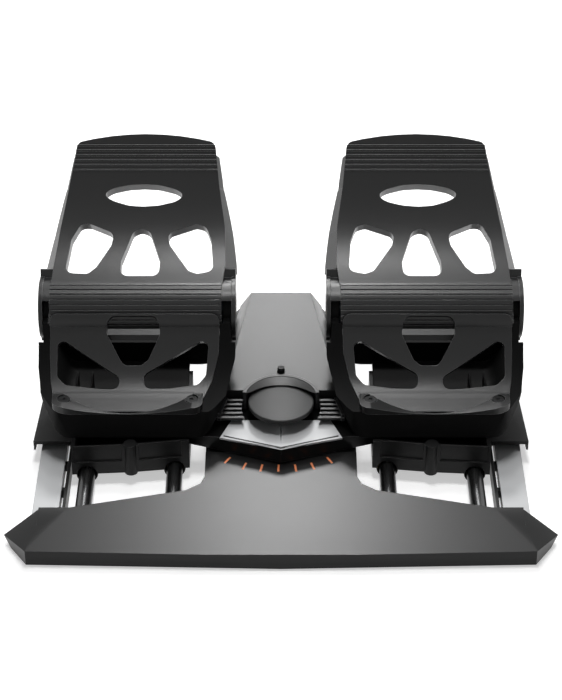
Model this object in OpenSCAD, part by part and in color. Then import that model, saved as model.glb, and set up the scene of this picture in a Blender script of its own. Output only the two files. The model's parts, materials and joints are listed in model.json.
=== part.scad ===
// Flight simulator rudder pedals.
// Two foot pedals slide in opposite directions on steel rods, joined by a rocker.
// Each pedal has a sprung toe plate that tilts about a shaft for the brakes.
// Origin: middle of the bounding box on the floor. X across, -Y to the pilot, Z up.

/* [Overall] */
// Width across the two arrow tips of the front bar
overall_wide = 430; // [400:460]
// Depth from the front edge to the rear end of the cable gland
overall_deep = 345; // [335:355]
// Height of the rubber feet under the base
foot_tall = 2; // [1.5:0.5:3]
// Thickness of the moulded walls
wall = 3; // [2.5:0.1:3.5]
// Gap left where one still piece is seated in another
seat_gap = 0.3; // [0.2:0.05:0.4]
// Radial clearance of a pin in its bore
run_gap = 0.05; // [0.02:0.01:0.1]

/* [Front bar] */
// Width of the flat top face
bar_face_wide = 378; // [370:386]
// Width across the bottom front corners
bar_corner_wide = 391; // [386:400]
// Height of the top front edge
bar_tall = 15; // [14:0.5:16]
// Slope of the top face
bar_slope = 5.8; // [5:0.1:6]
// Depth of the bar at its ends
bar_end_deep = 52; // [50:54]
// Distance of the arrow tips behind the front edge
tip_setback = 33.5; // [30:36]
// Height of the arrow tips
tip_tall = 8; // [7:9]
// Forward bow of the front edge in the middle
bar_bow = 5; // [4:6]
// Inner half width at which the swept back edge starts
sweep_start = 165; // [162:168]
// Half width where the swept back edge meets the apron
apron_root = 75; // [72:78]
// Distance of that corner behind the front edge
apron_root_setback = 71; // [69:73]
// Half width of the apron between the bays
apron_half = 60.5; // [59:62]
// Distance of the apron waist behind the front edge
apron_waist_setback = 86; // [84:88]
// Distance of the apron rear edge behind the front edge
apron_end_setback = 114; // [112:116]

/* [Rails] */
// Distance of each foot carriage from the middle plane
foot_spread = 120.5; // [119:122]
// Half distance between the two rods of a carriage
rod_spread = 35; // [34:36]
// Diameter of the steel rods
rod_thick = 13; // [12:0.5:13]
// Height of the rod axis
rod_axis_tall = 11; // [10.8:0.1:11.4]
// Length of rod held in each bar
rod_grip = 9; // [8:10]
// Distance of the rear bar behind the middle of the base
rear_bar_start = 118; // [116:120]
// Depth of the rear bar
rear_bar_deep = 32; // [30:34]
// Height of the rear bar
rear_bar_tall = 19; // [18:20]
// Half width to the inner wall of the side rails
rail_inner = 169; // [168.5:169.5]
// Thickness of that wall
rail_wall = 2.5; // [2:3]
// Width of the slots beside the bright strip
rail_slot = 3; // [2.5:3.5]
// Height of the shelf under the bright strip
shelf_tall = 9.5; // [9:10]
// Width of the bright strip
strip_wide = 20.5; // [19:21]
// Thickness of the bright strip
strip_thick = 3; // [2.5:3]
// Length of the bright strip
strip_long = 185; // [175:195]
// Length of one tab between the slots
tab_long = 4; // [3:5]
// Distance between the tabs
tab_pitch = 34; // [32:36]
// Height of the wing plates
wing_tall = 22; // [21:23]
// Distance of the wing front edge behind the middle of the base, negative is forward
wing_start = -38.5; // [-42:-35]
// Half width of the wing at its front corner
wing_half = 201; // [199:203]
// Half width of the wing at the rear
wing_rear_half = 187; // [184:190]

/* [Spine] */
// Height of the deck that the rocker turns on
deck_tall = 24.4; // [24:0.2:24.6]
// Distance of the hub axis behind the front edge
hub_setback = 144; // [143:145]
// Half width of the base tub at the rear bar
tub_rear_half = 42; // [40:44]
// Height of the spine top at the hub
spine_tall = 58; // [57:59]
// Height of the spine top at the rear
spine_rear_tall = 55; // [54:56]
// Half width of the spine top at the hub
spine_half = 46; // [45:47]
// Half width of the spine top at the rear
spine_rear_half = 23.5; // [22:25]
// Distance of the spine front edge behind the hub axis
spine_start = 11; // [10:12]
// Length of the spine top
spine_long = 148; // [144:150]
// Sideways reach of the dark side bevel
bevel_out = 12; // [10:13]
// Drop of the dark side bevel
bevel_drop = 20; // [18:22]
// Inner radius of the raised collar behind the hub
collar_radius = 28.6; // [28:0.2:29.4]
// Thickness of the collar
collar_thick = 3; // [2.6:0.2:3.4]
// Number of louvre fins on each side of the hub
louvre_count = 5; // [4:6]
// Thickness of a louvre fin
louvre_thick = 1.7; // [1.5:0.1:2]
// Distance between louvre fins
louvre_pitch = 4.6; // [4.4:0.1:4.8]
// Height of a louvre fin
louvre_deep = 4; // [3.5:4.5]
// Extra reach of each louvre fin over the one behind it
louvre_step = 1.1; // [1:0.1:1.2]
// Tilt of the louvre fins
louvre_tilt = 25; // [20:30]
// Drop from one louvre fin to the one in front of it
louvre_drop = 0.9; // [0.7:0.1:1.1]

/* [Rocker] */
// Distance of a drive pin from the hub axis
pin_reach = 82; // [81:83]
// Largest turn of the rocker each way
rocker_turn = 20; // [18:20]
// Diameter of the drive pins
pin_thick = 8; // [7:9]
// Side clearance of a drive pin in its cross slot
slot_play = 0.3; // [0.3:0.05:0.4]
// Diameter of the hub post
post_thick = 16; // [15:17]
// Thickness of the rocker arms
arm_thick = 8.2; // [7.8:0.1:8.6]
// Width of the rocker arms at the pins
arm_wide = 23; // [22:24]
// Height of the raised rocker deck above the arms
rocker_rise = 4.4; // [4:0.2:4.6]
// Distance of the chevron point in front of the hub axis
chevron_reach = 44.5; // [43:46]
// Distance of the chevron ends in front of the hub axis
chevron_end_reach = 21; // [20:22]
// Half width of the chevron
chevron_half = 70.5; // [69:72]
// Radius of the hub cap
cap_radius = 26.5; // [26:0.1:27]
// Height of the hub cap edge
cap_edge = 3; // [2.5:3.5]
// Height of the dome above that edge
cap_dome = 2; // [1.5:2.5]
// Thickness of the bright insert
insert_thick = 1.6; // [1.4:0.1:1.8]

/* [Carriage] */
// Half width of a carriage
carriage_half = 47; // [46.5:47.5]
// Distance from the hub axis line to the carriage front at its outer side
carriage_front = 39.5; // [38:41]
// Extra sweep of the carriage front toward its inner side
carriage_sweep = 9; // [8:10]
// Distance from the hub axis line to the carriage rear
carriage_rear = 66; // [62:70]
// Radius of the bush housings
housing_radius = 8.6; // [8.4:0.1:8.8]
// Height of the carriage floor plate
carriage_floor_tall = 24; // [23.8:0.1:24.2]
// Thickness of the bush walls
bush_thick = 1.2; // [1:0.1:1.4]
// Radius of the column on the carriage front
column_radius = 5.4; // [5:6]

/* [Pedal] */
// Distance of the pedal middle from the middle plane
pedal_spread = 117; // [116.5:117.5]
// Half width of the pedal face
pedal_half = 70; // [69:71]
// Height of the pedal face along its mean slope
face_high = 229; // [227:231]
// Mean slope of the pedal face
face_slope = 40; // [39.5:0.1:40.5]
// Height of the cradle floor
cradle_tall = 38; // [37.8:0.1:38.4]
// Half width over the cradle cheeks
cheek_half = 76.5; // [76:77]
// Amount by which the outer cheek stands closer to the pedal middle
outer_trim = 2.2; // [2:0.1:2.4]
// Distance of the heel wall in front of the hub axis
heel_reach = 26; // [25:27]
// Height of the heel wall top above the floor
heel_tall = 61.6; // [61:62]
// Distance from the hub axis line to the toe hinge
hinge_back = 57.4; // [57:58]
// Height of the toe hinge
hinge_tall = 108.4; // [108:109]
// Radius of the ribbed band about the hinge
band_radius = 25; // [24.6:0.1:25.4]
// Number of grooves in the band, those under the heel rest included
band_groove_count = 10; // [9:10]
// Angle from one groove to the next
band_groove_angle = 9.8; // [9.6:0.1:9.8]
// Width of a groove
band_groove_wide = 1; // [0.8:0.1:1.2]
// Radius of the heel curve
heel_radius = 72.75; // [72:0.25:73.5]
// Radius of the toe curve
toe_radius = 153.5; // [152:155]
// Thickness of the pedal plates
plate_thick = 4.5; // [4:5]
// Slope of the toe plate at its top edge
toe_top_slope = 71; // [70:72]
// Slope of the toe plate at its lower edge
toe_low_slope = 21; // [20:22]
// Slope of the heel curve at its front edge
heel_low_slope = 12; // [11:13]
// Slope of the heel curve under the band
heel_top_slope = 76; // [75:77]
// Number of fine ribs under the top edge
toe_rib_count = 6; // [5:7]
// Angle along the toe curve from one fine rib to the next
toe_rib_angle = 1.5; // [1.4:0.1:1.6]
// Angle along the toe curve that one fine rib takes
toe_rib_wide = 0.5; // [0.4:0.1:0.6]
// Angle along the toe curve from its top edge to the lowest fine rib
toe_rib_drop = 12.4; // [12.2:0.1:12.6]
// Diameter of the hinge shaft
shaft_thick = 10; // [9:11]
// Depth of the rims behind the openings of the toe plate, the plate included
rim_deep = 13; // [12:14]
// Travel of the toe plate
toe_turn = 16; // [14:17]
// Thickness of the toe arms
arm_plate = 3.2; // [3:0.1:3.4]
// Radius of the recesses over the heel screws
screw_recess = 5.5; // [5:6]
// Angle at which the lip of the heel rest ends, over the front of the band
lip_end = 155; // [150:160]
// Half distance between the heel screws
screw_spread = 51; // [50:52]
// Coils in one spring of the toe plate
toe_coils = 12; // [10:12]
// Coils in the centring spring
centring_coils = 4; // [3:4]
// Angle of the plate's rear shoulder above the rear horizontal at the hinge
shoulder_low = 18; // [16:20]
// Angle at which the high rear part of the shoulder ends
shoulder_high_end = 68; // [66:70]
// Angle at which the shoulder meets the band
shoulder_end = 135; // [130:140]
// Angle at which the band starts under the toe plate
band_low = 80; // [78:82]
// Angle at which the band ends under the heel rest
band_end = 192; // [190:194]
// Number of outline edges from the top that carry a side flange
flange_edges = 3; // [3:3]
// Depth of the side flanges at the top
flange_top_deep = 12; // [11:13]
// Extra depth of the side flanges at the band
flange_low_deep = 18; // [17:20]
// Outward lean of the side flanges
flange_lean = 25; // [24:26]
// Share of an edge that a corner arc may use
corner_share = 0.46; // [0.4:0.01:0.5]
// Pitch of the coils in radii of their wire
coil_pitch = 1.8; // [1.7:0.05:1.9]

/* [Hidden] */
$fn = 64;
half_turn = 180;
quarter_turn = 90;
full_turn = 360;
arc_steps = 4;
eps = wall / 100;
far = overall_wide;

front_y = -overall_deep / 2;
rear_y = overall_deep / 2;
hub_y = front_y + hub_setback;
tip_x = overall_wide / 2;
bar_back = front_y + bar_end_deep;
bar_root_back = front_y + apron_root_setback;
apron_back = front_y + apron_end_setback;
rod_radius = rod_thick / 2;
rod_front = bar_back - rod_grip;
rod_rear = rear_bar_start + rod_grip;
bore_radius = rod_radius + run_gap;
rail_outer = rail_inner + rail_wall;
strip_inner = rail_outer + rail_slot;
strip_outer = strip_inner + strip_wide;
pin_radius = pin_thick / 2;
post_radius = post_thick / 2;
apron_tall = bar_tall + apron_end_setback * tan(bar_slope);
arm_low = apron_tall + 2 * seat_gap;
arm_high = arm_low + arm_thick;
rocker_high = arm_high + rocker_rise;
travel = pin_reach * sin(rocker_turn);
pocket_long = (pin_reach - post_thick) / 2 - 2 * wall;
pin_low = rod_axis_tall + rod_radius + wall / 4;
louvre_high = (rocker_high + spine_tall) / 2 + louvre_deep / 2;
cheek_thick = 2 * wall;
outer_half = cheek_half - outer_trim;
cheek_left = -pedal_spread - outer_half;
cheek_right = -pedal_spread + cheek_half;
cheek_left_in = cheek_left + cheek_thick - outer_trim;
cheek_right_in = cheek_right - cheek_thick;
hinge_y = hub_y + hinge_back;
rod_places = [foot_spread - rod_spread, foot_spread + rod_spread];
face_left = -pedal_spread - pedal_half;
face_right = -pedal_spread + pedal_half;
rear_bar_back = rear_bar_start + rear_bar_deep;
tray_low = rocker_high + insert_thick + wall;
carriage_y = hub_y - carriage_front;
hinge_at = [hinge_y, hinge_tall];
spine_end = spine_start + spine_long;
neck_radius = wall + post_radius / 2;
cap_low = spine_tall - 2 * wall;
heel_y = hub_y - heel_reach;
shaft_radius = shaft_thick / 2;
heel_centre = [
  heel_y + wall - heel_radius * sin(heel_low_slope) + eps, heel_tall + heel_radius * cos(heel_low_slope)
];
toe_foot = [hinge_y, hinge_tall + band_radius + wall / 3];
toe_join_slope = toe_low_slope + band_groove_angle / arc_steps;
toe_rib_low = toe_top_slope - toe_rib_drop;
toe_centre = toe_foot + toe_radius * [-sin(toe_join_slope), cos(toe_join_slope)];
sweep_radius = band_radius + wall / 2;
arm_sweep = 1.4 * band_radius;
pad_tall = heel_tall + 2 * wall;
saddle_radius = (screw_spread * screw_spread + pow(pad_tall - heel_tall, 2)) / (pad_tall - heel_tall) / 2;
pad_middle = -pedal_spread - wall * 1.8;
pad_half = screw_spread + 3 * wall;
pad_radius = 28 * wall;
boss_radius = band_radius - plate_thick - 2 * wall / 3;
arm_faces = [
  [cheek_left - 2 * seat_gap - arm_plate, cheek_left - 2 * seat_gap],
  [cheek_right + 2 * seat_gap, cheek_right + 2 * seat_gap + arm_plate]
];
heel_screw_y = heel_y + 13 * wall / 3;
column_x = -foot_spread;
band_start = quarter_turn + band_groove_angle / 3;
flange_inset = wall;
flange_lap = wall / 2;

// Half outline of the toe plate, outer side, in shares of half width and face height
toe_outer_shares = [
  [-0.7, 0.972], [-0.8, 0.83], [-0.9, 0.67], [-0.965, 0.52], [-0.975, 0.44], [-0.985, 0.25]
];
// Half outline of the toe plate, inner side
toe_inner_shares = [[0.905, 0.972], [0.95, 0.83], [1.02, 0.68], [1.03, 0.54], [0.99, 0.44], [0.985, 0.25]];
// Outline of the slot under the ribs
slot_shares = [
  [-0.404, 0.797], [-0.3, 0.818], [-0.1, 0.83], [0.07, 0.833], [0.25, 0.83], [0.45, 0.815], [0.544, 0.795],
  [0.45, 0.772], [0.25, 0.758], [0.07, 0.754], [-0.1, 0.757], [-0.3, 0.775]
];
// Outline of the outer toe opening
outer_hole_shares = [
  [-0.83, 0.502], [-0.765, 0.632], [-0.66, 0.69], [-0.55, 0.69], [-0.27, 0.655], [-0.3, 0.61],
  [-0.465, 0.525], [-0.56, 0.498]
];
// Outline of the middle toe opening
middle_hole_shares = [
  [-0.19, 0.49], [-0.18, 0.55], [-0.05, 0.66], [0.05, 0.674], [0.15, 0.66], [0.27, 0.55], [0.26, 0.49]
];
// Outline of the inner toe opening
inner_hole_shares = [
  [0.38, 0.61], [0.35, 0.655], [0.69, 0.69], [0.8, 0.68], [0.86, 0.63], [0.89, 0.51], [0.7, 0.498],
  [0.6, 0.51]
];
// Outline of the heel rest
heel_shares = [
  [-0.975, 0.342], [-0.985, 0.22], [-0.97, 0.12], [-0.93, 0.05], [-0.84, 0.002], [0.66, 0.002],
  [0.78, 0.05], [0.88, 0.12], [0.955, 0.22], [0.965, 0.342]
];
// Outline of the outer heel opening
heel_outer_shares = [
  [-0.9, 0.25], [-0.82, 0.262], [-0.17, 0.132], [-0.2, 0.088], [-0.4, 0.09], [-0.8, 0.104], [-0.9, 0.135]
];
// Outline of the inner heel opening
heel_inner_shares = [
  [0.84, 0.25], [0.76, 0.262], [0.1, 0.145], [0.1, 0.09], [0.4, 0.092], [0.72, 0.106], [0.81, 0.14]
];
// Outline of the middle heel opening
heel_middle_shares = [
  [-0.332, 0.285], [-0.315, 0.32], [-0.26, 0.335], [0.22, 0.335], [0.268, 0.32], [0.284, 0.285],
  [0.147, 0.196], [0.066, 0.176], [-0.129, 0.176], [-0.177, 0.196]
];

// Corner of a polygon replaced by an arc that touches both edges
function unit(v) = v / norm(v);
function corner(a, b, c, r) =
  let(p = unit(a - b), q = unit(c - b), half = acos(p * q) / 2)
  let(reach = min(r / tan(half), corner_share * min(norm(a - b), norm(c - b))))
  let(rr = reach * tan(half), middle = b + unit(p + q) * rr / sin(half))
  let(from = b + p * reach - middle, to = b + q * reach - middle)
  let(start = atan2(from[1], from[0]), end = atan2(to[1], to[0]))
  let(turn = (end - start + half_turn + full_turn) % full_turn - half_turn)
  [for (i = [0:arc_steps])
    middle + rr * [cos(start + turn * i / arc_steps), sin(start + turn * i / arc_steps)]];
function rounded(points, r) =
  let(n = len(points))
  [for (i = [0:n - 1])
    each corner(points[(i + n - 1) % n], points[i], points[(i + 1) % n], is_list(r) ? r[i] : r)];
// Outline of a pedal opening or plate in the plane of the pedal face, left foot
function on_face(shares) = [for (s = shares) [-pedal_spread + s[0] * pedal_half, s[1] * face_high]];
// Outline moved out by a distance all round, for rims and seats
function grown(points, d) =
  let(n = len(points))
  [for (i = [0:n - 1])
    let(a = unit(points[i] - points[(i + n - 1) % n]), b = unit(points[(i + 1) % n] - points[i]))
    let(m = unit([a[1] + b[1], -a[0] - b[0]]))
    points[i] - turning(points) * m * d / max(corner_share, m * [b[1], -b[0]])];
// Sense of an outline, one way round is 1 and the other is -1
function turning(points) =
  let(n = len(points))
  let(
    areas = [for (i = [0:n - 1])
      points[i][0] * points[(i + 1) % n][1] - points[(i + 1) % n][0] * points[i][1]]
  )
  -sign(areas * [for (i = [0:n - 1]) 1]);
// Crowned top edge of the toe plate
function crown(from, to, rise) =
  let(mid = (from + to) / 2, half = (to[0] - from[0]) / 2)
  [for (i = [-arc_steps:arc_steps])
    [mid[0] + half * i / arc_steps, mid[1] + rise * (1 - pow(i / arc_steps, 2))]];

// Solid from an outline in Y and Z, drawn out along X
module along_x(from, to) {
  translate([from, 0, 0])
    rotate([quarter_turn, 0, quarter_turn])
      linear_extrude(to - from) children();
}
// Solid from an outline in X and Z, drawn out along Y
module along_y(from, to) {
  translate([0, to, 0])
    rotate([quarter_turn, 0, 0])
      linear_extrude(to - from) children();
}
// Round bar along X, Y or Z
module bar_x(y, z, r, from, to) {
  translate([from, y, z]) rotate([0, quarter_turn, 0]) cylinder(r = r, h = to - from);
}
module bar_y(x, z, r, from, to) {
  translate([x, to, z]) rotate([quarter_turn, 0, 0]) cylinder(r = r, h = to - from);
}
module bar_z(x, y, r, from, to) {
  translate([x, y, from]) cylinder(r = r, h = to - from);
}
// Box between two corners
module block(a, b) {
  translate(a) cube(b - a);
}
module both_sides() {
  children();
  mirror([1, 0, 0]) children();
}
// Prism through the pedal in the direction of the face normal
module through_face(shares, r, extra = 0) {
  rotate([face_slope, 0, 0])
    linear_extrude(far) polygon(rounded(grown(on_face(shares), extra), r));
}
// Wedge of a disc between two angles, in the Y and Z plane
module sector(at, r, from, to) {
  steps = ceil((to - from) / quarter_turn * 4);
  translate(at)
    polygon(
      concat(
        [[0, 0]],
        [for (i = [0:steps])
          2 * r * [cos(from + (to - from) * i / steps), sin(from + (to - from) * i / steps)]]
      )
    );
}
// Ring between two radii and two angles, in the Y and Z plane
module ring(at, inner, outer, from, to) {
  intersection() {
    difference() {
      translate(at) circle(outer);
      translate(at) circle(inner);
    }
    sector(at, outer, from, to);
  }
}

// Front bar and apron, pocketed from below
module bar_plan(inset) {
  polygon([
    [-bar_corner_wide / 2 + inset, front_y + bar_bow + inset],
    [0, front_y + inset],
    [bar_corner_wide / 2 - inset, front_y + bar_bow + inset],
    [tip_x - 2 * inset, front_y + tip_setback],
    [wing_rear_half + wall, bar_back - inset],
    [sweep_start, bar_back - inset],
    [apron_root, bar_root_back - inset],
    [apron_half + wall - inset, front_y + (apron_root_setback + apron_waist_setback) / 2],
    [apron_half - inset, front_y + apron_waist_setback],
    [apron_half - inset, apron_back - inset],
    [-apron_half + inset, apron_back - inset],
    [-apron_half + inset, front_y + apron_waist_setback],
    [-apron_half - wall + inset, front_y + (apron_root_setback + apron_waist_setback) / 2],
    [-apron_root, bar_root_back - inset],
    [-sweep_start, bar_back - inset],
    [-wing_rear_half - wall, bar_back - inset],
    [-tip_x + 2 * inset, front_y + tip_setback]
  ]);
}
module bar_side(inset) {
  polygon([
    [front_y, foot_tall],
    [front_y + inset + wall / 2, bar_tall - inset],
    [apron_back, bar_tall - inset + (apron_back - front_y) * tan(bar_slope)],
    [apron_back, foot_tall]
  ]);
}
module bar_ends(inset) {
  polygon([
    [-tip_x + 2 * wall, foot_tall], [-tip_x, tip_tall], [
      -bar_face_wide / 2 + inset, bar_tall + wall - inset
    ], [-bar_face_wide / 2 + inset, 2 * deck_tall],
    [bar_face_wide / 2 - inset, 2 * deck_tall], [
      bar_face_wide / 2 - inset, bar_tall + wall - inset
    ], [tip_x, tip_tall], [tip_x - 2 * wall, foot_tall]
  ]);
}
module bar_solid(inset, low) {
  intersection() {
    translate([0, 0, low]) linear_extrude(2 * deck_tall) bar_plan(inset);
    along_x(-tip_x, tip_x) bar_side(inset);
    along_y(front_y, apron_back) bar_ends(inset);
  }
}
module front_bar() {
  color("#2b2c2e")
    difference() {
      bar_solid(0, foot_tall);
      difference() {
        bar_solid(wall, foot_tall - wall);
        // Ribs that carry the rods and stiffen the bar
        both_sides() {
          for (x = rod_places)
            block([x - housing_radius, bar_back - 3 * rod_grip, 0], [x + housing_radius, 0, 2 * deck_tall]);
          for (i = [1:4])
            block(
              [i * apron_half / 2 - wall / 2, front_y, 0], [i * apron_half / 2 + wall / 2, 0, 2 * deck_tall]
            );
          block([tip_x - 14 * wall, front_y, 0], [tip_x, 0, 2 * deck_tall]);
          bar_z(foot_spread, bar_back - 2 * rod_grip, 2 * wall, 0, 2 * deck_tall);
        }
        block([-wall / 2, front_y, 0], [wall / 2, apron_back, 2 * deck_tall]);
        bar_z(0, front_y + 8 * wall, 2 * wall, 0, 2 * deck_tall);
        for (i = [1:3])
          block([-far, front_y + i * 9 * wall, 0], [far, front_y + i * 9 * wall + wall / 2, 2 * deck_tall]);
      }
      both_sides() {
        for (x = rod_places)
          bar_y(x, rod_axis_tall, rod_radius + seat_gap, rod_front - seat_gap, 0);
      }
      base_screw_holes(seat_gap);
    }
}

// Base tub under the spine, between the bays
module tub_plan(inset) {
  polygon([
    [
      -apron_half + inset, apron_back + inset
    ], [apron_half - inset, apron_back + inset], [apron_half - inset, hub_y + hinge_back],
    [tub_rear_half - inset, rear_bar_start - inset], [
      -tub_rear_half + inset, rear_bar_start - inset
    ], [-apron_half + inset, hub_y + hinge_back]
  ]);
}
module base_tub() {
  color("#232426")
    difference() {
      translate([0, 0, foot_tall]) linear_extrude(deck_tall - foot_tall) tub_plan(0);
      difference() {
        translate([0, 0, 2 * foot_tall]) linear_extrude(deck_tall - 2 * foot_tall - wall) tub_plan(wall);
        bar_z(0, hub_y, post_radius + 2 * wall, 0, deck_tall);
        // Bosses behind the spring and beside the board
        bar_z(0, hub_y + 10 * wall, 2 * wall, 0, deck_tall);
        both_sides()
          bar_z(tub_rear_half - 3 * wall, rear_bar_start - 6 * wall, 2 * wall, 0, deck_tall);
      }
      // Way up into the spine for the loom, and the post hole
      block([-6 * wall, hinge_y, foot_tall + wall], [6 * wall, hinge_y + 9 * wall, 2 * deck_tall]);
      bar_z(0, hub_y, post_radius + seat_gap, foot_tall + wall, 2 * deck_tall);
      // Vents in the floor of the tub
      for (i = [-3:3])
        block(
          [i * 4 * wall - wall / 2, hinge_y, 0],
          [i * 4 * wall + wall / 2, hinge_y + 8 * wall, 2 * foot_tall]
        );
    }
}

// Rear bar with the tail that carries the gland
module rear_bar() {
  color("#1f2022")
    difference() {
      translate([0, 0, foot_tall]) linear_extrude(rear_bar_tall - foot_tall)
        polygon(rounded([
          [-wing_rear_half, rear_bar_start], [wing_rear_half, rear_bar_start],
          [wing_rear_half - 3 * wall, rear_bar_back], [tub_rear_half, rear_bar_back],
          [tub_rear_half - 3 * wall, rear_y - 2 * wall], [-tub_rear_half + 3 * wall, rear_y - 2 * wall],
          [-tub_rear_half, rear_bar_back], [-wing_rear_half + 3 * wall, rear_bar_back]
        ], 2 * wall));
      both_sides() {
        for (x = rod_places)
          bar_y(x, rod_axis_tall, rod_radius + seat_gap, 0, rod_rear + seat_gap);
        // Pockets from below between the rods, with a rib in the middle
        for (x = [foot_spread - rod_spread + 3 * wall, foot_spread + wall / 2])
          block(
            [x, rear_bar_start + wall, 0],
            [x + rod_spread - 3.5 * wall, rear_bar_back - wall, rear_bar_tall - wall]
          );
        block(
          [tub_rear_half, rear_bar_start + 5 * wall, 0],
          [foot_spread - rod_spread - 3 * wall, rear_bar_back - wall, rear_bar_tall - wall]
        );
      }
      block(
        [wall - spine_rear_half, rear_bar_start + 3 * wall, foot_tall + wall],
        [spine_rear_half - wall, rear_y - 3 * wall, rear_bar_tall - wall]
      );
      bar_y(0, rod_axis_tall, wall + seat_gap, rear_y - 4 * wall, rear_y);
      base_screw_holes(seat_gap);
    }
}

// Spine cover with bevelled sides, a collar round the hub and a notch for the rocker
module spine_half_space(inset) {
  lean = atan((spine_half - spine_rear_half) / spine_long);
  translate([0, hub_y + spine_start, 0])
    rotate([0, 0, lean])
      along_y(-far, far)
        polygon([
          [-far, 0], [spine_half + bevel_out - inset, 0], [
            spine_half + bevel_out - inset, spine_tall - bevel_drop
          ],
          [
            spine_half - inset, spine_tall - inset
          ], [spine_half - inset, spine_tall + wall], [-far, spine_tall + wall]
        ]);
}
module spine_body(inset, low) {
  intersection() {
    spine_half_space(inset);
    mirror([1, 0, 0]) spine_half_space(inset);
    along_x(-far, far)
      polygon([
        [hub_y + spine_start + inset, low], [hub_y + spine_start + inset, spine_tall - inset],
        [hub_y + spine_end - inset, spine_rear_tall - inset],
        [hub_y + spine_end - inset + 2 * wall, spine_rear_tall - bevel_drop],
        [hub_y + spine_end - inset + 2 * wall, low]
      ]);
  }
}
module spine_cover() {
  color("#3a3b3d")
    difference() {
      union() {
        spine_body(0, deck_tall);
        // Collar behind the hub
        intersection() {
          bar_z(0, hub_y, collar_radius + collar_thick, rocker_high + wall, spine_tall + wall / 2);
          block([-far, hub_y + 2 * wall, 0], [far, far, far]);
        }
      }
      spine_body(wall, 0);
      bar_z(0, hub_y, collar_radius, 0, far);
      // Notch under which the rocker arms swing
      block([-far, -far, 0], [far, hub_y + travel + arm_wide / 2 + 2 * wall, rocker_high + wall / 2]);
      // Slots for air low in the sides
      for (i = [0:5])
        block(
          [-far, hinge_y + i * 4 * wall, deck_tall + 2 * wall],
          [far, hinge_y + i * 4 * wall + wall, deck_tall + 4 * wall]
        );
      bar_z(0, hub_y + collar_radius + 3 * wall, wall + seat_gap, 0, far);
    }
}

// Louvre fins beside the hub, held by the front of the spine
module louvre_grille() {
  grille_back = hub_y + spine_start - seat_gap;
  grille_front = grille_back - (louvre_count - 0.5) * louvre_pitch;
  color("#26272a")
    both_sides()
      difference() {
        union() {
          for (i = [1:louvre_count])
            translate([0, grille_back - (i - 0.5) * louvre_pitch, louvre_high - i * louvre_drop])
              rotate([louvre_tilt, 0, 0])
                block(
                  [collar_radius - wall, -louvre_thick, -louvre_deep / 2],
                  [spine_half + i * louvre_step, 0, louvre_deep / 2]
                );
          // Tray that ties the fins
          translate([0, 0, tray_low])
            linear_extrude(louvre_thick)
              polygon(
                [
                  [0, grille_back], [spine_half, grille_back],
                  [spine_half + louvre_count * louvre_step, grille_front], [0, grille_front]
                ]
              );
          // Slanted outer end
          translate([spine_half, grille_back, tray_low])
            rotate([0, 0, atan(louvre_step / louvre_pitch)])
              block([-wall, -louvre_count * louvre_pitch, 0], [0, 0, louvre_deep + wall]);
        }
        bar_z(0, hub_y, collar_radius + collar_thick + seat_gap, 0, far);
        block([-far, grille_back, 0], [far, far, far]);
        block([-far, -far, 0], [0, far, far]);
      }
}
module tension_knob() {
  knob_y = hub_y + collar_radius + 3 * wall;
  color("#141415")
    difference() {
      union() {
        bar_z(0, knob_y, wall, spine_tall - 2 * wall, spine_tall + wall);
        bar_z(0, knob_y, wall - seat_gap, spine_tall + wall, spine_tall + 1.4 * wall);
      }
      block([-far, knob_y - wall / 6, spine_tall + wall], [far, knob_y + wall / 6, far]);
    }
}

// Side rail: shelf, slotted inner wall and the outer wall under the wing
module side_rail_left() {
  color("#1d1e20")
    difference() {
      union() {
        block([-strip_outer, bar_back, foot_tall], [-rail_inner, rear_bar_start, shelf_tall]);
        block(
          [-rail_outer, bar_back, foot_tall], [-rail_inner, rear_bar_start, shelf_tall + strip_thick + wall]
        );
        block([-rail_outer, wing_start, foot_tall], [-rail_inner, rear_bar_start, wing_tall - wall]);
        block(
          [-strip_outer + wall, wing_start + 8 * wall, foot_tall],
          [-strip_outer + 2 * wall, rear_bar_start, wing_tall - wall]
        );
      }
      for (i = [0:6])
        block(
          [-strip_inner, bar_back + i * tab_pitch + tab_long, 0],
          [-rail_outer, bar_back + (i + 1) * tab_pitch - (i == 6 ? tab_pitch / 2 : 0), shelf_tall + eps]
        );
    }
}
module trim_strip_left() {
  color("#b9babd")
    difference() {
      block(
        [-strip_outer, bar_back + seat_gap, shelf_tall],
        [-strip_inner, bar_back + strip_long, shelf_tall + strip_thick]
      );
      block(
        [-strip_outer + wall - seat_gap, wing_start + 8 * wall - seat_gap, 0],
        [-strip_outer + 2 * wall + seat_gap, far, far]
      );
      block([-far, wing_start + 8 * wall - seat_gap, 0], [-strip_outer + 2 * wall, far, far]);
    }
}
module wing_plate_left() {
  color("#1b1c1e")
    difference() {
      union() {
        translate([0, 0, wing_tall - wall]) linear_extrude(wall)
          polygon(
            [
              [-wing_half, wing_start], [-rail_inner, wing_start], [-rail_inner, rear_bar_start],
              [-wing_rear_half, rear_bar_start], [-wing_half + wall, hinge_y]
            ]
          );
        // Lip hanging from the outer edge
        translate([0, 0, shelf_tall + strip_thick + wall / 3])
          linear_extrude(wing_tall - shelf_tall - strip_thick - wall / 3)
          polygon(
            [
              [-wing_half, wing_start], [-wing_half + wall / 2, wing_start],
              [-wing_half + 1.5 * wall, hinge_y], [-wing_half + wall, hinge_y]
            ]
          );
      }
      for (i = [0:3])
        bar_z(-(rail_outer + wing_half) / 2, wing_start + (i + 1) * 10 * wall, wall, 0, far);
    }
}
module guide_rods_left() {
  color("#55575b")
    for (x = rod_places)
      bar_y(-x, rod_axis_tall, rod_radius, rod_front, rod_rear);
}

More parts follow.
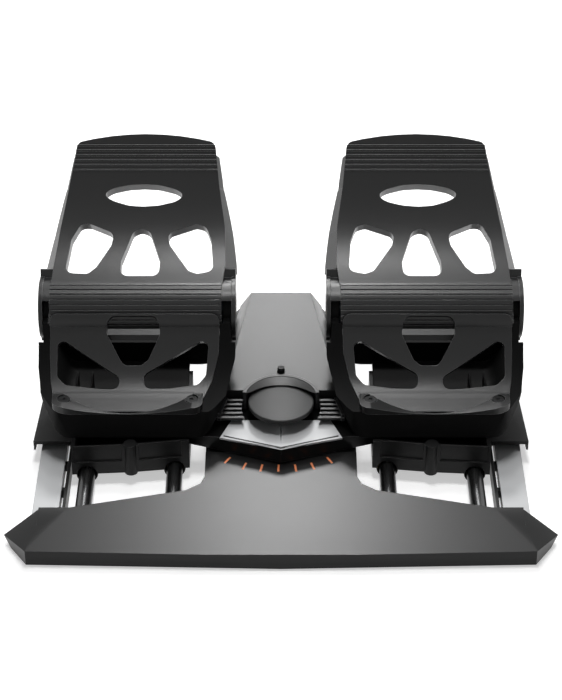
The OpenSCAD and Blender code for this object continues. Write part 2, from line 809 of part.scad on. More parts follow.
// Small parts of the base
module rubber_feet() {
  color("#101011") {
    both_sides() {
      bar_z(foot_spread, bar_back - 2 * rod_grip, 2 * wall, 0, foot_tall);
      bar_z(tip_x - 10 * wall, front_y + tip_setback, 2 * wall, 0, foot_tall);
      bar_z(wing_rear_half - 5 * wall, rear_bar_start + 5 * wall, 2 * wall, 0, foot_tall);
      bar_z(tub_rear_half / 2, rear_bar_back, 2 * wall, 0, foot_tall);
    }
    bar_z(0, front_y + 8 * wall, 2 * wall, 0, foot_tall);
  }
}
// Shared places of the screws that close the base from below
module base_screw_holes(extra) {
  both_sides() {
    bar_z(tip_x - 10 * wall, bar_back - 3 * wall, wall / 2 + extra, 0, bar_tall - wall);
    bar_z(2 * apron_half, front_y + 5 * wall, wall / 2 + extra, 0, bar_tall - wall);
    bar_z(wing_rear_half - 3 * wall, rear_bar_back - 3 * wall, wall / 2 + extra, 0, bar_tall - wall);
  }
  both_sides() {
    bar_z(tip_x - 10 * wall, bar_back - 3 * wall, wall + extra, 0, foot_tall + wall + extra);
    bar_z(2 * apron_half, front_y + 5 * wall, wall + extra, 0, foot_tall + wall + extra);
    bar_z(wing_rear_half - 3 * wall, rear_bar_back - 3 * wall, wall + extra, 0, foot_tall + wall + extra);
  }
}
module base_screws() {
  color("#2f3033")
    intersection() {
      base_screw_holes(0);
      block([-far, -far, foot_tall + wall / 2], [far, far, bar_tall - 1.5 * wall]);
    }
}
module hub_post() {
  color("#8b8d91")
    union() {
      bar_z(0, hub_y, post_radius, foot_tall + wall + seat_gap, rocker_high - wall);
      bar_z(0, hub_y, post_radius + wall, deck_tall, arm_low - seat_gap);
    }
}
// Closely wound torsion spring round the foot of the post, under the deck
module centring_spring() {
  wire = (deck_tall - wall - 3 * foot_tall) / centring_coils / 2;
  color("#6d6f73")
    translate([0, hub_y, 2 * foot_tall + wire + seat_gap])
      rotate_extrude()
        for (i = [0:centring_coils - 1])
          translate([post_radius + 3 * wall + wire, i * coil_pitch * wire]) circle(wire);
}
module yaw_sensor() {
  color("#20405a")
    difference() {
      block([-3 * wall, hinge_y - 4 * wall, deck_tall], [3 * wall, hinge_y - wall, deck_tall + 4 * wall]);
      bar_y(0, deck_tall + 2 * wall, wall, -far, hinge_y - 3 * wall);
    }
}
module controller_board() {
  color("#1e5a34") {
    difference() {
      union() {
        block(
          [-spine_rear_half + wall, rear_bar_start - 20 * wall, 2 * foot_tall + wall],
          [spine_rear_half - wall, rear_bar_start - 5 * wall, 2 * foot_tall + 1.5 * wall]
        );
        block(
          [-2 * wall, rear_bar_start - 14 * wall, 2 * foot_tall + wall],
          [2 * wall, rear_bar_start - 10 * wall, 2 * foot_tall + 2 * wall]
        );
        block(
          [wall, rear_bar_start - 8 * wall, 2 * foot_tall + wall],
          [5 * wall, rear_bar_start - 6 * wall, 2 * foot_tall + 3 * wall]
        );
        // Standoffs on the tub floor
        for (x = [-4 * wall, 4 * wall])
          for (y = [rear_bar_start - 18 * wall, rear_bar_start - 7 * wall])
            bar_z(x, y, wall, 2 * foot_tall, 2 * foot_tall + wall);
      }
      for (x = [-4 * wall, 4 * wall])
        for (y = [rear_bar_start - 18 * wall, rear_bar_start - 7 * wall])
          bar_z(x, y, wall / 3, 3 * foot_tall, far);
    }
  }
}
module cable_gland() {
  color("#161617")
    difference() {
      union() {
        bar_y(0, rod_axis_tall, wall, rear_y - 3 * wall - seat_gap, rear_y);
        bar_y(0, rod_axis_tall, 1.6 * wall, rear_y - 2 * wall, rear_y - wall);
      }
      bar_y(0, rod_axis_tall, wall / 2, rear_y - 4 * wall, far);
    }
}

// Rocker: chevron deck and two arms that carry the drive pins
module rocker_arm() {
  color("#101113")
    difference() {
      union() {
        // Arms
        translate([0, hub_y, arm_low]) linear_extrude(arm_thick)
          polygon(rounded([
            [0, -chevron_reach], [chevron_half, -chevron_end_reach], [
              pin_reach + arm_wide / 2, -arm_wide / 2
            ], [pin_reach + arm_wide / 2, arm_wide / 2],
            [spine_half, arm_wide / 2], [post_thick, cap_radius], [-post_thick, cap_radius], [
              -spine_half, arm_wide / 2
            ],
            [-pin_reach - arm_wide / 2, arm_wide / 2], [
              -pin_reach - arm_wide / 2, -arm_wide / 2
            ], [-chevron_half, -chevron_end_reach]
          ], wall));
        // Raised deck with the thin lip along its front
        intersection() {
          translate([0, hub_y, arm_high - eps]) linear_extrude(rocker_rise + wall / 2 + eps)
            polygon([
              [0, -chevron_reach], [chevron_half, -chevron_end_reach], [
                chevron_half, -chevron_end_reach + 2 * wall
              ],
              [spine_half, 0], [post_thick, cap_radius - wall], [-post_thick, cap_radius - wall],
              [-spine_half, 0], [
                -chevron_half, -chevron_end_reach + 2 * wall
              ], [-chevron_half, -chevron_end_reach]
            ]);
          along_y(-far, far)
            polygon([
              [-chevron_half - eps, 0], [
                -chevron_half - eps, arm_high + wall / 4
              ], [-spine_half - 2 * wall, rocker_high], [spine_half + 2 * wall, rocker_high],
              [chevron_half + eps, arm_high + wall / 4], [chevron_half + eps, 0]
            ]);
        }
      }
      // Seat of the bright insert
      translate([0, 0, rocker_high - insert_thick / 2])
        linear_extrude(far)
          polygon(grown(insert_points(), seat_gap));
      // Bore for the post, with a blind top
      bar_z(0, hub_y, post_radius + run_gap, 0, rocker_high - wall + seat_gap);
      // Lightening pockets from below
      both_sides()
        for (x = [post_thick, (post_thick + pin_reach) / 2 - wall])
          translate([x, hub_y, arm_low - eps]) linear_extrude(arm_thick - wall)
            polygon(
              rounded(
                [[0, -2 * wall], [0, 2 * wall], [pocket_long, 2 * wall], [pocket_long, -2 * wall]], wall
              )
            );
      both_sides()
        bar_z(pin_reach, hub_y, pin_radius + run_gap, 0, arm_high - wall);
    }
}
function insert_points() = [
  [-spine_half - wall, hub_y - chevron_reach + 5 * wall], [-spine_half + 2 * wall, hub_y - 2 * wall],
  [spine_half - 2 * wall, hub_y - 2 * wall], [
    spine_half + wall, hub_y - chevron_reach + 5 * wall
  ], [0, hub_y - chevron_reach + wall / 2]
];
module rocker_insert() {
  color("#a7a8ab")
    difference() {
      translate([0, 0, rocker_high - insert_thick / 2])
        linear_extrude(insert_thick)
          polygon(insert_points());
      bar_z(0, hub_y, neck_radius + seat_gap, 0, far);
    }
}
module rocker_pointer() {
  color("#d4d5d8")
    intersection() {
      translate([0, 0, rocker_high + insert_thick / 2]) linear_extrude(wall)
        polygon(
          [
            [0, hub_y - chevron_reach + 2 * wall], [wall / 2, hub_y - neck_radius - 2 * wall],
            [-wall / 2, hub_y - neck_radius - 2 * wall]
          ]
        );
      along_y(-far, far)
        polygon(
          [
            [-wall / 2, 0], [-wall / 2, rocker_high + insert_thick], [0, tray_low],
            [wall / 2, rocker_high + insert_thick], [wall / 2, 0]
          ]
        );
    }
}
// Domed cap over the hub, left plain, on a neck that stands on the deck
module hub_cap() {
  rim = cap_radius - wall / 4;
  dome = [for (i = [0:2 * arc_steps - 1])
    let(r = rim * (1 - i / (2 * arc_steps))) [r, cap_low + cap_edge + cap_dome * (1 - pow(r / rim, 2))]];
  color("#1a1a1c")
    translate([0, hub_y, 0])
      rotate_extrude()
        polygon(concat(
          [[0, rocker_high], [neck_radius, rocker_high], [neck_radius, cap_low]],
          [[cap_radius, cap_low], [cap_radius, cap_low + cap_edge - wall / 4]],
          dome,
          [[0, cap_low + cap_edge + cap_dome]]
        ));
}
module drive_pins() {
  color("#909296")
    both_sides()
      bar_z(pin_reach, hub_y, pin_radius, pin_low, arm_high - wall - seat_gap);
}

// Carriage: bored floor block and the walls that carry the cradle
module carriage_plan(inset) {
  rear = hub_y + carriage_rear;
  polygon([
    [
      -foot_spread - carriage_half + inset, carriage_y + inset
    ], [-foot_spread, carriage_y + carriage_sweep / 3 + inset],
    [
      -foot_spread + carriage_half - inset, carriage_y + carriage_sweep + inset
    ], [-foot_spread + carriage_half - inset, rear - inset],
    [-foot_spread - carriage_half + inset, rear - inset]
  ]);
}
module carriage_left() {
  rear = hub_y + carriage_rear;
  color("#242528")
    difference() {
      union() {
        difference() {
          translate([0, 0, rod_axis_tall]) linear_extrude(cradle_tall - rod_axis_tall) carriage_plan(0);
          // Room for the rocker arm, open to the inner side
          translate([0, 0, carriage_floor_tall]) linear_extrude(far) carriage_plan(wall);
          block(
            [-foot_spread, carriage_y + carriage_sweep + wall, carriage_floor_tall],
            [0, hub_y + carriage_front - wall, far]
          );
          // Window in the floor between the bush housings
          block(
            [-foot_spread - rod_spread + 4 * wall, hub_y + 7 * wall, 0],
            [-foot_spread + rod_spread - 4 * wall, rear - 4 * wall, far]
          );
        }
        intersection() {
          for (x = rod_places)
            bar_y(-x, rod_axis_tall, housing_radius, carriage_y - wall, rear);
          translate([0, 0, 0]) linear_extrude(far) carriage_plan(0);
        }
        // Round column in the middle of the front wall
        bar_z(
          column_x, carriage_y + carriage_sweep / 3 + wall, column_radius, rod_axis_tall - wall / 2,
          cradle_tall
        );
        // Posts under the rear of the cradle
        for (x = [-foot_spread - carriage_half + 2 * wall, -foot_spread + carriage_half - 2 * wall])
          bar_z(x, rear - 2 * wall, 2 * wall, carriage_floor_tall - eps, cradle_tall);
      }
      for (x = rod_places)
        bar_y(-x, rod_axis_tall, rod_radius + bush_thick + seat_gap / 3, carriage_y - wall, rear + wall);
      // Cross slot that the drive pin works in
      block(
        [-pin_reach - pin_radius - 2 * wall / 3, hub_y - pin_radius - slot_play, pin_low - seat_gap],
        [-foot_spread + carriage_half + wall, hub_y + pin_radius + slot_play, carriage_floor_tall + wall]
      );
      // Sunken panels each side of the column
      for (side = [-1, 1])
        translate([-foot_spread, carriage_y + carriage_sweep / 3, 0])
          rotate(
            [
              0, 0,
              side > 0 ? atan(
                carriage_sweep * 2 / 3 / carriage_half
              ) : atan(carriage_sweep / 3 / carriage_half)
            ]
          )
            block(
              [
                side > 0 ? column_radius + wall / 2 : -carriage_half + wall / 2, -far,
                rod_axis_tall + housing_radius + wall
              ],
              [side > 0 ? carriage_half - 2 * wall : -column_radius - wall / 2, wall / 2, far]
            );
    }
}
module rod_bushes_left() {
  color("#b08a45")
    for (x = rod_places)
      for (y = [hub_y - carriage_front / 2 - wall, hub_y + carriage_rear - 6 * wall])
        difference() {
          bar_y(-x, rod_axis_tall, rod_radius + bush_thick, y, y + 5 * wall);
          bar_y(-x, rod_axis_tall, bore_radius, y - wall, y + 6 * wall);
        }
}

// Cradle: tub with two cheeks, a heel wall and a seat for the heel rest
module heel_space(extra) {
  translate(heel_centre) circle(heel_radius + extra, $fn = 128);
}
module cradle_side(inset) {
  difference() {
    union() {
      polygon([
        [heel_y + inset, cradle_tall + inset], [hinge_y + 7 * wall - inset, cradle_tall + inset],
        [
          hinge_y + boss_radius + 2 * wall - inset, (hinge_tall + cradle_tall) / 2
        ], [hinge_y + boss_radius - inset - wall / 3, hinge_tall - wall],
        [hinge_y, hinge_tall + wall / 2],
        [
          heel_centre[0] + heel_radius * sin(heel_top_slope),
          heel_centre[1] - heel_radius * cos(heel_top_slope)
        ],
        [heel_y + inset + wall, heel_tall]
      ]);
      translate(hinge_at) circle(boss_radius - inset);
    }
    heel_space(inset);
  }
}
module cradle_front(inset) {
  polygon(rounded([
    [
      arm_faces[0][0] + inset, hinge_tall + band_radius
    ], [arm_faces[0][0] + inset, heel_tall + 6 * wall], [cheek_left + inset, heel_tall],
    [face_left + 3 * wall + inset, cradle_tall + inset], [
      face_right - 4 * wall - inset, cradle_tall + inset
    ],
    [cheek_right - wall - inset, heel_tall + 2 * wall], [arm_faces[1][1] - inset, heel_tall + 8 * wall], [
      arm_faces[1][1] - inset, hinge_tall + band_radius
    ]
  ], 4 * wall));
}
module cradle_plan(inset) {
  polygon(rounded([
    [arm_faces[0][0] + inset, hinge_y + 10 * wall], [arm_faces[0][0] + inset, heel_y + 8 * wall],
    [face_left + 3 * wall, heel_y + inset], [face_right - 4 * wall, heel_y + inset],
    [arm_faces[1][1] - inset, heel_y + 9 * wall], [arm_faces[1][1] - inset, hinge_y + 10 * wall]
  ], 6 * wall));
}
module cradle_solid(inset) {
  intersection() {
    along_x(-far, 0) cradle_side(inset);
    along_y(-far, far) cradle_front(inset);
    linear_extrude(far) cradle_plan(inset);
  }
}
module cradle_left() {
  color("#2c2d30")
    difference() {
      cradle_solid(0);
      // Hollow inside, round the screw bosses and two stiffening ribs
      difference() {
        intersection() {
          along_x(cheek_left_in, cheek_right_in) cradle_side(wall);
          along_y(-far, far) cradle_front(wall);
          linear_extrude(far) cradle_plan(4 * wall / 3);
        }
        heel_screw_places() bar_z(0, 0, 2 * wall, 0, pad_tall);
        for (i = [0:1])
          block(
            [cheek_left_in + (7 + 4 * i) * wall, heel_y, 0],
            [cheek_left_in + (7.5 + 4 * i) * wall, hinge_y - band_radius, heel_tall]
          );
      }
      // Recesses that the toe arms turn in
      bar_x(hinge_y, hinge_tall, arm_sweep, -far, cheek_left);
      bar_x(hinge_y, hinge_tall, arm_sweep, cheek_right, 0);
      // Opening toward the back and between the cheeks at the hinge
      along_x(cheek_left_in, cheek_right_in)
        polygon(
          [
            [hinge_y - band_radius - 2 * wall, hinge_tall + far / 4],
            [hinge_y - band_radius, hinge_tall - band_radius], [hinge_y, cradle_tall + 7 * wall],
            [hinge_y + far / 4, cradle_tall + 7 * wall], [hinge_y + far / 4, hinge_tall + far / 4]
          ]
        );
      bar_x(hinge_y, hinge_tall, sweep_radius, cheek_left_in, cheek_right_in);
      // Room under the shoulders of the toe plate
      along_x(-far, 0)
        ring(hinge_at, boss_radius + eps, sweep_radius, shoulder_low - toe_turn, band_end - toe_turn);
      // Window in the floor beside the inner cheek
      block(
        [cheek_right - 12 * wall, hub_y + 8 * wall, 0],
        [cheek_right_in - 2 * wall, hinge_y + 6 * wall, cradle_tall + 2 * wall]
      );
      // Seat and window for the heel rest
      intersection() {
        through_face(heel_shares, 2 * wall, seat_gap);
        along_x(-far, 0) heel_space(plate_thick + seat_gap / 3);
      }
      intersection() {
        through_face(heel_shares, 2 * wall, -2 * wall);
        along_x(-far, 0) heel_space(3 * wall);
      }
      bar_x(hinge_y, hinge_tall, shaft_radius + run_gap, -far, 0);
      heel_screw_bores(wall / 2 + seat_gap, -8 * wall, wall);
    }
}
// Shared places of the heel screws, one in each pad of the heel rest
module heel_screw_places() {
  for (side = [-1, 1])
    translate([pad_middle + side * screw_spread, heel_screw_y, 0]) children();
}
module heel_screw_bores(r, from, to = 0) {
  heel_screw_places() bar_z(0, 0, r, pad_tall + from, pad_tall + to);
}
// Pads that rise out of the heel rest toward its front corners
module heel_pads() {
  intersection() {
    union() {
      along_x(-far, 0) heel_space(-seat_gap / 3);
      intersection() {
        along_x(-far, 0) heel_space(plate_thick / 2);
        through_face(heel_shares, 2 * wall, 0);
      }
    }
    difference() {
      translate([pad_middle, 0, 0])
        linear_extrude(pad_tall)
          polygon(rounded([
            [-pad_half, heel_y], [pad_half, heel_y],
            [pad_half, heel_y + 9 * wall], [-pad_half, heel_y + 9 * wall]
          ], 8 * wall / 3));
      bar_y(pad_middle, heel_tall + saddle_radius, saddle_radius, -far, far);
      bar_z(pad_middle, heel_y + wall / 3 + pad_radius, pad_radius, 0, far);
    }
    linear_extrude(far) cradle_plan(0);
  }
}
module heel_rest_left() {
  color("#333437")
    difference() {
      union() {
        intersection() {
          through_face(heel_shares, 2 * wall, 0);
          along_x(-far, 0)
            difference() {
              union() {
                ring(
                  heel_centre, heel_radius, heel_radius + plate_thick, -quarter_turn,
                  heel_top_slope - quarter_turn + heel_low_slope
                );
                ring(hinge_at, band_radius, sweep_radius + wall, lip_end, half_turn);
              }
              translate(hinge_at) circle(sweep_radius);
            }
        }
        heel_pads();
      }
      through_face(heel_outer_shares, 2 * wall);
      through_face(heel_inner_shares, 2 * wall);
      through_face(heel_middle_shares, 2 * wall);
      heel_screw_bores(wall / 2 + seat_gap, -8 * wall, wall);
      heel_screw_bores(screw_recess, -plate_thick / 2, 2 * wall);
    }
}
module heel_screws_left() {
  color("#4a4b4f")
    difference() {
      union() {
        heel_screw_bores(wall / 2, -5 * wall, -plate_thick / 2);
        heel_screw_bores(screw_recess - 2 * seat_gap, -plate_thick / 2, -plate_thick / 2 + wall / 2);
      }
      for (a = [0:half_turn / 3:half_turn - 1])
        heel_screw_places()
          rotate(a)
            block(
              [-wall / 2, -wall / 4, pad_tall - plate_thick / 2 + wall / 4], [wall / 2, wall / 4, pad_tall]
            );
    }
}
module hinge_shaft_left() {
  color("#8e9094")
    bar_x(hinge_y, hinge_tall, shaft_radius, arm_faces[0][0], arm_faces[1][1]);
}
module toe_spring_left() {
  wire = wall / 2;
  color("#6f7175")
    translate([-pedal_spread - 6 * wall, hinge_y, hinge_tall])
      rotate([0, quarter_turn, 0])
        rotate_extrude()
          union() {
            for (i = [0:toe_coils - 1])
              translate([shaft_radius + seat_gap + wire, i * coil_pitch * wire]) circle(wire);
          }
}
module brake_sensor_left() {
  color("#20405a")
    difference() {
      union() {
        bar_x(hinge_y, hinge_tall, 3 * wall, cheek_right_in - 3 * wall, cheek_right_in);
        block(
          [cheek_right_in - 2 * wall, hinge_y - 2 * wall, hinge_tall - 5 * wall],
          [cheek_right_in, hinge_y + 2 * wall, hinge_tall]
        );
      }
      bar_x(hinge_y, hinge_tall, shaft_radius + run_gap, -far, 0);
    }
}

// Toe plate: one concave moulding with the ribbed band, side flanges and hinge arms
module toe_outline() {
  outer = on_face(toe_outer_shares);
  inner = on_face(toe_inner_shares);
  n = len(outer);
  top = crown(outer[0], inner[0], 2 * wall);
  left = [for (i = [n - 1:-1:1]) outer[i]];
  right = [for (i = [1:n - 1]) inner[i]];
  // Tight top corners between long soft curves
  side = [for (i = [1:n - 1]) 20 * wall];
  ridge = [for (i = [1:len(top) - 2]) 20 * wall];
  rotate([face_slope, 0, 0])
    linear_extrude(far)
      polygon(rounded(concat(left, top, right), concat(side, 2 * wall, ridge, 2 * wall, side)));
}
module toe_shell(inner, outer, from, to) {
  along_x(-far, 0)
    ring(toe_centre, inner, outer, from - quarter_turn, to - quarter_turn);
}
module rim(shares, r = 2 * wall) {
  intersection() {
    toe_shell(toe_radius + plate_thick / 2, toe_radius + rim_deep, toe_low_slope, toe_top_slope);
    through_face(shares, r, wall);
  }
}
// Arm outline beside the hinge, in Y and Z
module toe_arm_side() {
  union() {
    polygon(rounded([
      [
        hinge_y - 0.96 * band_radius, hinge_tall + band_radius / 3
      ], [hinge_y - band_radius / 2, hinge_tall - band_radius], [hinge_y, hinge_tall - 1.3 * band_radius],
      [hinge_y + 0.7 * band_radius, hinge_tall - band_radius / 2], [
        hinge_y + 1.25 * band_radius, hinge_tall + 0.4 * band_radius
      ],
      [
        hinge_y + 0.9 * band_radius, hinge_tall + 0.75 * band_radius
      ], [hinge_y, hinge_tall + 0.9 * band_radius]
    ], wall));
    translate(hinge_at) circle(band_radius);
  }
}
// Height of the toe curve along the face normal, for a place up the face
function toe_rise(v) =
  let(cv = toe_centre[0] * cos(face_slope) + toe_centre[1] * sin(face_slope))
  let(cn = toe_centre[1] * cos(face_slope) - toe_centre[0] * sin(face_slope))
  cn - sqrt(toe_radius * toe_radius - (v - cv) * (v - cv));
function flange_deep(v) = flange_top_deep + flange_low_deep * pow(max(0, 1 - v / face_high) * 2, 1.5);
// Flange under one edge of the toe plate, leaning outward as it goes back
module toe_flange(low, high, side) {
  run = high - low;
  long = norm(run);
  base = toe_rise(low[1]);
  pitch = atan((toe_rise(high[1]) - base) / long);
  shares = [for (i = [0:arc_steps]) i == 0 ? -flange_lap / long : i / arc_steps];
  rotate([face_slope, 0, 0])
    translate([low[0], low[1], base])
      rotate([0, 0, -atan2(run[0], run[1])])
        rotate([pitch, 0, 0])
          rotate([0, -side * flange_lean, 0])
            along_x(
              side < 0 ? flange_inset : -arm_plate - flange_inset,
              side < 0 ? arm_plate + flange_inset : -flange_inset
            )
              rotate(-pitch)
                polygon(concat(
                  [for (s = shares) [s * long, toe_rise(low[1] + s * run[1]) - base - wall / 3]],
                  [for (i = [arc_steps:-1:0])
                    let(s = shares[i]) [
                      s * long, toe_rise(low[1] + s * run[1]) - base - flange_deep(low[1] + s * run[1])
                    ]
                  ]
                ));
}
module toe_flanges() {
  outer = on_face(toe_outer_shares);
  inner = on_face(toe_inner_shares);
  // The top flanges end where the rounded top corners begin
  for (i = [0:flange_edges - 1]) {
    cut = i == 0 ? corner_share / 2 : 0;
    toe_flange(outer[i + 1], outer[i] + (outer[i + 1] - outer[i]) * cut, -1);
    toe_flange(inner[i + 1], inner[i] + (inner[i + 1] - inner[i]) * cut, 1);
  }
}
module toe_pedal_left() {
  color("#2f3033")
    difference() {
      union() {
        intersection() {
          toe_shell(
            toe_radius, toe_radius + plate_thick, toe_low_slope, toe_top_slope + 2 * toe_rib_angle
          );
          toe_outline();
        }
        toe_flanges();
        rim(slot_shares, 10 * wall);
        rim(outer_hole_shares);
        rim(middle_hole_shares);
        rim(inner_hole_shares);
        // Fine ribs under the top edge
        intersection() {
          union() {
            for (i = [0:toe_rib_count - 1])
              toe_shell(
                toe_radius - wall / 3, toe_radius + wall / 3, toe_rib_low + i * toe_rib_angle,
                toe_rib_low + i * toe_rib_angle + toe_rib_wide
              );
          }
          toe_outline();
        }
        // Ribbed band about the hinge
        along_x(face_left + wall / 3, face_right - wall / 3)
          difference() {
            ring(hinge_at, band_radius - plate_thick, band_radius, band_low, band_end);
            for (i = [0:band_groove_count - 1])
              translate(hinge_at)
                rotate(band_start + band_groove_angle * i)
                  translate([band_radius - wall / 2, -band_groove_wide / 2])
                    square([wall, band_groove_wide]);
          }
        // Shoulders over the cheeks and the arms outside them
        for (x = [[arm_faces[0][0], face_left + 2 * wall], [face_right - 2 * wall, arm_faces[1][1]]])
          along_x(x[0], x[1])
            union() {
              ring(hinge_at, band_radius - plate_thick, band_radius - wall / 3, shoulder_low, shoulder_end);
              ring(
                hinge_at, band_radius - plate_thick, band_radius + 2 * wall, shoulder_low, shoulder_high_end
              );
            }
        for (x = arm_faces)
          along_x(x[0], x[1]) toe_arm_side();
      }
      through_face(slot_shares, 10 * wall);
      through_face(outer_hole_shares, 2 * wall);
      through_face(middle_hole_shares, 2 * wall);
      through_face(inner_hole_shares, 2 * wall);
      for (x = arm_faces)
        bar_x(hinge_y, hinge_tall, shaft_radius + wall / 2, x[0] - wall / 6, x[1] + wall / 6);
    }
}
module pivot_bushes_left() {
  color("#b08a45")
    for (x = arm_faces)
      difference() {
        bar_x(hinge_y, hinge_tall, shaft_radius + wall / 2, x[0], x[1]);
        bar_x(hinge_y, hinge_tall, shaft_radius + run_gap, -far, 0);
      }
}

// Right foot and right side are the left ones mirrored
module side_rail_right() {
  mirror([1, 0, 0]) side_rail_left();
}
module trim_strip_right() {
  mirror([1, 0, 0]) trim_strip_left();
}
module wing_plate_right() {
  mirror([1, 0, 0]) wing_plate_left();
}
module guide_rods_right() {
  mirror([1, 0, 0]) guide_rods_left();
}
module carriage_right() {
  mirror([1, 0, 0]) carriage_left();
}
module rod_bushes_right() {
  mirror([1, 0, 0]) rod_bushes_left();
}
module cradle_right() {
  mirror([1, 0, 0]) cradle_left();
}
module hinge_shaft_right() {
  mirror([1, 0, 0]) hinge_shaft_left();
}
module heel_rest_right() {
  mirror([1, 0, 0]) heel_rest_left();
}
module heel_screws_right() {
  mirror([1, 0, 0]) heel_screws_left();
}
module toe_spring_right() {
  mirror([1, 0, 0]) toe_spring_left();
}
module brake_sensor_right() {
  mirror([1, 0, 0]) brake_sensor_left();
}
module toe_pedal_right() {
  mirror([1, 0, 0]) toe_pedal_left();
}
module pivot_bushes_right() {
  mirror([1, 0, 0]) pivot_bushes_left();
}

base_tub();
front_bar();
rear_bar();
spine_cover();
louvre_grille();
tension_knob();
side_rail_left();
side_rail_right();
trim_strip_left();
trim_strip_right();
wing_plate_left();
wing_plate_right();
guide_rods_left();
guide_rods_right();
rubber_feet();
base_screws();
hub_post();
centring_spring();
yaw_sensor();
controller_board();
cable_gland();
rocker_arm();
rocker_insert();
rocker_pointer();
hub_cap();
drive_pins();
carriage_left();
carriage_right();
rod_bushes_left();
rod_bushes_right();
cradle_left();
cradle_right();
hinge_shaft_left();
hinge_shaft_right();
heel_rest_left();
heel_rest_right();
heel_screws_left();
heel_screws_right();
toe_spring_left();
toe_spring_right();
brake_sensor_left();
brake_sensor_right();
toe_pedal_left();
toe_pedal_right();
pivot_bushes_left();
pivot_bushes_right();
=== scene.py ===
# Looks of the flight simulator rudder pedals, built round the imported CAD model.
import json
import math
import bmesh
import bpy
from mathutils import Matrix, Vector


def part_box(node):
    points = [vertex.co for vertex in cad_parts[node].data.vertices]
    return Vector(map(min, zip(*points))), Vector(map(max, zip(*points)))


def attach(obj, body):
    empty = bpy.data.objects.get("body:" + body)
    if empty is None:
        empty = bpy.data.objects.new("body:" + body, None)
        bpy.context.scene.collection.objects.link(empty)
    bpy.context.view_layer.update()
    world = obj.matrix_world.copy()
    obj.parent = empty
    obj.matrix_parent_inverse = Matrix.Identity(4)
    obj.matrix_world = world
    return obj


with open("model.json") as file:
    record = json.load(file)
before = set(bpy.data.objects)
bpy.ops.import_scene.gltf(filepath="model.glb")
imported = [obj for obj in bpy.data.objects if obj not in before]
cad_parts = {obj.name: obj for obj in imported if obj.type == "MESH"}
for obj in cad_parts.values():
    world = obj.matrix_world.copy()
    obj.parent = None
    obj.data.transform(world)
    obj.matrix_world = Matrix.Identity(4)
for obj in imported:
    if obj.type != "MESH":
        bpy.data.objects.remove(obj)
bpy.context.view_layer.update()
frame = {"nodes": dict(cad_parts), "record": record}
nodes = frame["nodes"]

# Driving sizes, in metres, and angles in degrees
MM = 0.001
OPAQUE = (1.0,)
LOOK_AT = Vector((0, 0.0365, 0.060))
CAMERA_AWAY = 1.72
CAMERA_UP = 35
LENS = 106.5
APRON_SLOPE = 5.8
SMOOTH_ANGLE = 32
EDGE_ROUND = 0.5 * MM
WELD_REACH = 0.001 * MM

# Height of the camera's sensor in its own millimetres, and how far it sees
SENSOR_HIGH = 36
SEEN_TO = 20

# Spread of tones and sizes of the patterns in the finishes
MIDDLE = (0.3, 0.7)
EDGE_MASK = (0.80, 0.995)
CLOUD_SIZE = 45 * MM
CLOUD_TONES = (0.95, 1.06)
SMEAR_SIZE = 16 * MM
SMEAR_SPREAD = 0.01
LINE_SIZE = 0.7 * MM
LINE_STRETCH = 0.02
LINE_TONES = (0.95, 1.04)
LINE_ROUGH = (0.92, 1.1)
STREAK_SIZE = 30 * MM
LINE_SHARE = 0.6
LINE_STRENGTH = 0.2
SCRATCH_DEEP = 0.04 * MM
SPECK_SIZE = 0.5 * MM
INK_SPECK = 0.6 * MM
TRACK_SIZE = 3 * MM
TRACK_DEEP = 0.03 * MM
SPECK_DEEP = 0.05 * MM
INK_DEEP = 0.02 * MM
STEEL_BLUE = 0.02

# Floor and the light from all round
FLOOR_HALF = 6
FLOOR_CLOUD = 0.4
FLOOR_GLOW = 0.5
WORLD_LIGHT = 0.12


